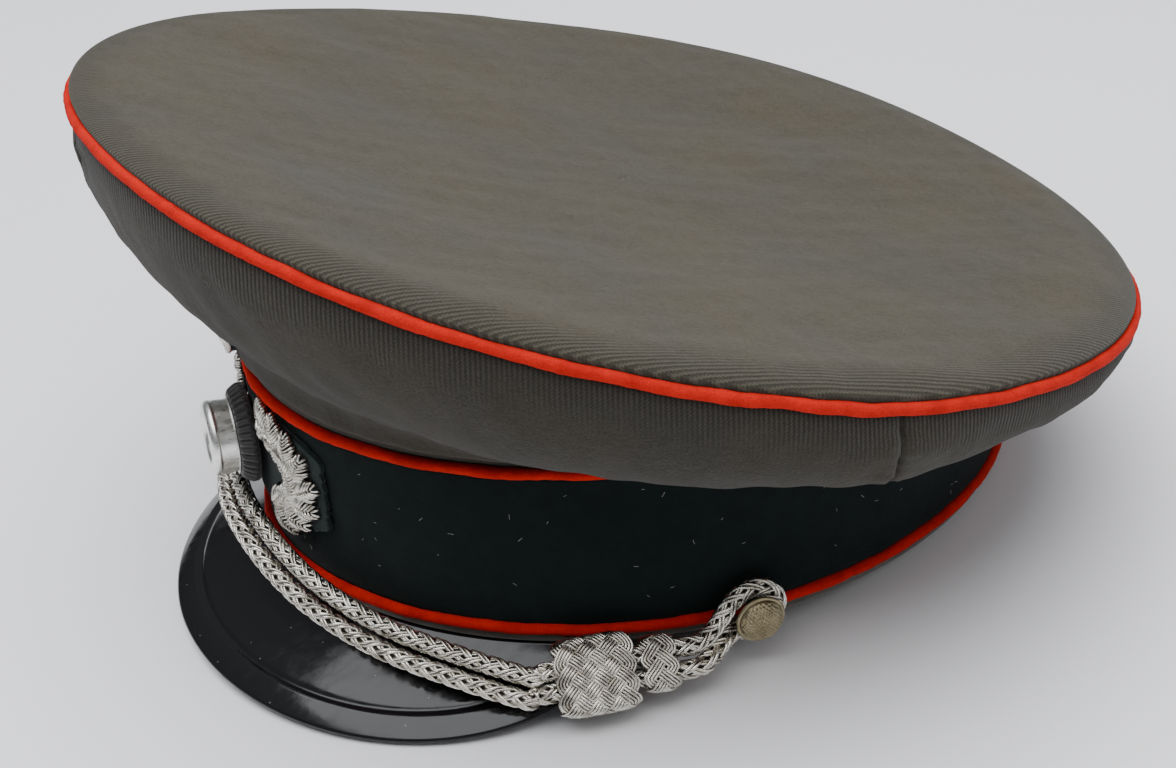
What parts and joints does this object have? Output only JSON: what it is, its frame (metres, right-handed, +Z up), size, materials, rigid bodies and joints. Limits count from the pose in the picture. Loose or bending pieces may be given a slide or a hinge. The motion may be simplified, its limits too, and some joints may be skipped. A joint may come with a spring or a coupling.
{
  "type": "peaked cap",
  "caption": "Peaked service cap: wire-rimmed cloth crown, piped felt band, glossy peak, plaited chin cord with sliding knots on two side buttons.",
  "frame": {"origin": "middle of the cap's outer box, on the table it stands on", "axes": "-Y the wearer's front, +X the wearer's left, +Z up; the cap stands on the peak's edge and the back of the band"},
  "size_m": [0.2598, 0.2734, 0.1557],
  "materials": {
    "crown_cloth": "napped field-grey wool tricot",
    "piping_felt": "orange-red wool felt",
    "band_felt": "very dark blue-green felt",
    "stiffener_board": "pressed fibre board and stiff canvas",
    "sweatband_leather": "tan sheep leather, satin",
    "lining_satin": "brown-gold satin",
    "shield_film": "clear film",
    "steel_wire": "plain steel",
    "peak_fibre": "black lacquered fibre, glossy",
    "silver_cord": "aluminium bullion thread",
    "button_metal": "matt grained pale gold",
    "boss_metal": "brushed",
    "rosette_silk": "black ribbed silk"
  },
  "bodies": {
    "cap": {"crown_top": "crown_cloth", "crown_side_front_left": "crown_cloth", "crown_side_front_right": "crown_cloth", "crown_side_rear_left": "crown_cloth", "crown_side_rear_right": "crown_cloth", "crown_piping": "piping_felt", "crown_wire": "steel_wire", "front_stay": "stiffener_board", "lining_side": "lining_satin", "lining_top": "lining_satin", "sweat_shield": "shield_film", "band_cloth": "band_felt", "band_upper_piping": "piping_felt", "band_lower_piping": "piping_felt", "band_edge_cloth": "crown_cloth", "band_stiffener": "stiffener_board", "sweatband": "sweatband_leather", "sweatband_tape": "sweatband_leather", "peak": "peak_fibre", "side_button_left": "button_metal", "side_button_right": "button_metal", "button_shank_left": "steel_wire", "button_shank_right": "steel_wire", "button_washer_left": "steel_wire", "button_washer_right": "steel_wire", "cockade_rosette": "rosette_silk", "cockade_boss": "boss_metal", "cockade_centre": "rosette_silk", "cockade_pin": "steel_wire", "wreath_backing": "band_felt", "wreath_branch_left": "silver_cord", "wreath_branch_right": "silver_cord", "crown_patch_backing": "band_felt", "crown_patch_oval": "silver_cord"},
    "cord": {"chin_cord": "silver_cord"},
    "slide_left": {"slide_knot_left": "silver_cord"},
    "slide_right": {"slide_knot_right": "silver_cord"},
    "keeper_left": {"keeper_knot_left": "silver_cord"},
    "keeper_right": {"keeper_knot_right": "silver_cord"}
  },
  "joints": [
    {"name": "cord_lift", "type": "hinge", "parent": "cap", "child": "cord", "pos_m": [0, -0.00291, 0.01734], "axis": [-1, 0, 0], "range_deg": [0, 1.5]},
    {"name": "slide_knot_left_travel", "type": "slide", "parent": "cord", "child": "slide_left", "axis": [-0.1625, -0.986, 0.0381], "range_m": [0, 0.003]},
    {"name": "slide_knot_right_travel", "type": "slide", "parent": "cord", "child": "slide_right", "axis": [0.1625, -0.986, 0.0381], "range_m": [0, 0.003]},
    {"name": "keeper_knot_left_travel", "type": "slide", "parent": "cord", "child": "keeper_left", "axis": [0.1625, 0.986, -0.0381], "range_m": [0, 0.003]},
    {"name": "keeper_knot_right_travel", "type": "slide", "parent": "cord", "child": "keeper_right", "axis": [-0.1625, 0.986, -0.0381], "range_m": [0, 0.003]}
  ]
}
